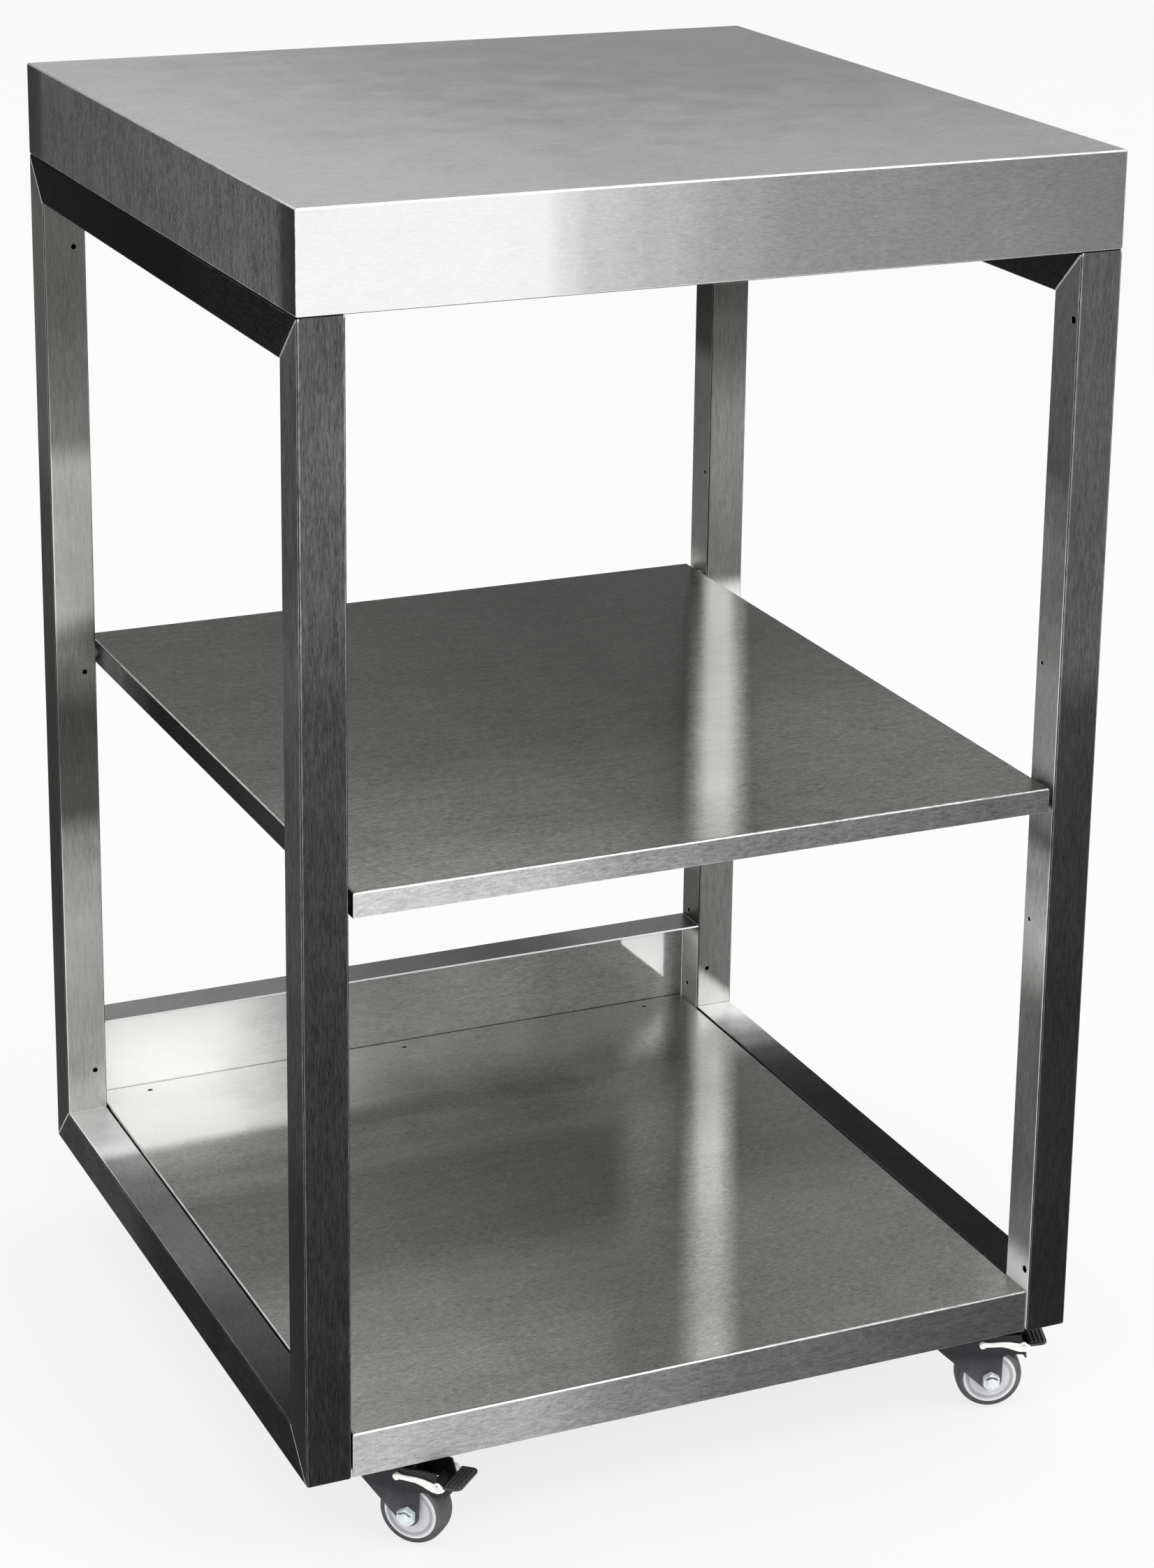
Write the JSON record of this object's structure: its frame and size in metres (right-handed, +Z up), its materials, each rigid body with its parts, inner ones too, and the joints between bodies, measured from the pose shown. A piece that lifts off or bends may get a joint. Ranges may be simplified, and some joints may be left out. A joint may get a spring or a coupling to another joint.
{
  "type": "grill cart with storage",
  "caption": "Open square-tube cart with a deep folded worktop, a middle shelf and a bottom shelf with a rear panel, rolling on braked swivel casters.",
  "frame": {"origin": "on the floor under the middle of the cart", "axes": "+Z up, -Y towards the front that is open to the bays, +X to the right seen from the front"},
  "size_m": [0.6, 0.6448, 0.9545],
  "materials": {
    "frame_steel": "stainless square tube, grain along each tube, mitres ground",
    "sheet_steel": "stainless sheet, fine straight grain, folds slightly polished",
    "caster_steel": "pressed steel, zinc plated, dull",
    "fastener_steel": "bright zinc plated",
    "pedal_steel": "bright plated arms, dark ribbed tab",
    "wheel_plastic": "light grey moulded plastic",
    "tyre_rubber": "grey rubber that leaves no marks"
  },
  "bodies": {
    "frame": {"left_front_upright": "frame_steel", "left_rear_upright": "frame_steel", "left_top_rail": "frame_steel", "left_bottom_rail": "frame_steel", "right_front_upright": "frame_steel", "right_rear_upright": "frame_steel", "right_top_rail": "frame_steel", "right_bottom_rail": "frame_steel", "worktop": "sheet_steel", "middle_shelf": "sheet_steel", "bottom_shelf": "sheet_steel", "rear_panel": "sheet_steel", "front_cross_channel": "sheet_steel", "rear_cross_channel": "sheet_steel", "worktop_screws": "fastener_steel", "worktop_nuts": "fastener_steel", "shelf_screws": "fastener_steel", "shelf_spacers": "fastener_steel", "caster_bolts": "fastener_steel", "caster_nuts": "fastener_steel", "front_left_caster_plate": "caster_steel", "front_left_kingpin": "fastener_steel", "front_right_caster_plate": "caster_steel", "front_right_kingpin": "fastener_steel", "rear_left_caster_plate": "caster_steel", "rear_left_kingpin": "fastener_steel", "rear_right_caster_plate": "caster_steel", "rear_right_kingpin": "fastener_steel"},
    "front_left_fork": {"front_left_fork": "caster_steel", "front_left_axle_bolt": "fastener_steel", "front_left_axle_nut": "fastener_steel", "front_left_pedal_pin": "fastener_steel"},
    "front_left_wheel": {"front_left_wheel_core": "wheel_plastic", "front_left_tyre": "tyre_rubber"},
    "front_left_pedal": {"front_left_brake_pedal": "pedal_steel", "front_left_brake_shoe": "caster_steel"},
    "front_right_fork": {"front_right_fork": "caster_steel", "front_right_axle_bolt": "fastener_steel", "front_right_axle_nut": "fastener_steel", "front_right_pedal_pin": "fastener_steel"},
    "front_right_wheel": {"front_right_wheel_core": "wheel_plastic", "front_right_tyre": "tyre_rubber"},
    "front_right_pedal": {"front_right_brake_pedal": "pedal_steel", "front_right_brake_shoe": "caster_steel"},
    "rear_left_fork": {"rear_left_fork": "caster_steel", "rear_left_axle_bolt": "fastener_steel", "rear_left_axle_nut": "fastener_steel", "rear_left_pedal_pin": "fastener_steel"},
    "rear_left_wheel": {"rear_left_wheel_core": "wheel_plastic", "rear_left_tyre": "tyre_rubber"},
    "rear_left_pedal": {"rear_left_brake_pedal": "pedal_steel", "rear_left_brake_shoe": "caster_steel"},
    "rear_right_fork": {"rear_right_fork": "caster_steel", "rear_right_axle_bolt": "fastener_steel", "rear_right_axle_nut": "fastener_steel", "rear_right_pedal_pin": "fastener_steel"},
    "rear_right_wheel": {"rear_right_wheel_core": "wheel_plastic", "rear_right_tyre": "tyre_rubber"},
    "rear_right_pedal": {"rear_right_brake_pedal": "pedal_steel", "rear_right_brake_shoe": "caster_steel"}
  },
  "joints": [
    {"name": "front_left_swivel", "type": "hinge", "parent": "frame", "child": "front_left_fork", "pos_m": [-0.229, -0.265, 0.07], "axis": [0, 0, 1], "continuous": true},
    {"name": "front_left_wheel_spin", "type": "hinge", "parent": "front_left_fork", "child": "front_left_wheel", "pos_m": [-0.21294, -0.28284, 0.025], "axis": [0.7431, 0.6691, 0], "continuous": true},
    {"name": "front_left_pedal_press", "type": "hinge", "parent": "front_left_fork", "child": "front_left_pedal", "pos_m": [-0.21796, -0.27726, 0.0548], "axis": [0.7431, 0.6691, 0], "range_deg": [0, 10]},
    {"name": "front_right_swivel", "type": "hinge", "parent": "frame", "child": "front_right_fork", "pos_m": [0.229, -0.265, 0.07], "axis": [0, 0, 1], "continuous": true},
    {"name": "front_right_wheel_spin", "type": "hinge", "parent": "front_right_fork", "child": "front_right_wheel", "pos_m": [0.25155, -0.27321, 0.025], "axis": [0.342, 0.9397, 0], "continuous": true},
    {"name": "front_right_pedal_press", "type": "hinge", "parent": "front_right_fork", "child": "front_right_pedal", "pos_m": [0.2445, -0.27064, 0.0548], "axis": [0.342, 0.9397, 0], "range_deg": [0, 10]},
    {"name": "rear_left_swivel", "type": "hinge", "parent": "frame", "child": "rear_left_fork", "pos_m": [-0.229, 0.265, 0.07], "axis": [0, 0, 1], "continuous": true},
    {"name": "rear_left_wheel_spin", "type": "hinge", "parent": "rear_left_fork", "child": "rear_left_wheel", "pos_m": [-0.21294, 0.28284, 0.025], "axis": [-0.7431, 0.6691, 0], "continuous": true},
    {"name": "rear_left_pedal_press", "type": "hinge", "parent": "rear_left_fork", "child": "rear_left_pedal", "pos_m": [-0.21796, 0.27726, 0.0548], "axis": [-0.7431, 0.6691, 0], "range_deg": [0, 10]},
    {"name": "rear_right_swivel", "type": "hinge", "parent": "frame", "child": "rear_right_fork", "pos_m": [0.229, 0.265, 0.07], "axis": [0, 0, 1], "continuous": true},
    {"name": "rear_right_wheel_spin", "type": "hinge", "parent": "rear_right_fork", "child": "rear_right_wheel", "pos_m": [0.25155, 0.27321, 0.025], "axis": [-0.342, 0.9397, 0], "continuous": true},
    {"name": "rear_right_pedal_press", "type": "hinge", "parent": "rear_right_fork", "child": "rear_right_pedal", "pos_m": [0.2445, 0.27064, 0.0548], "axis": [-0.342, 0.9397, 0], "range_deg": [0, 10]}
  ]
}
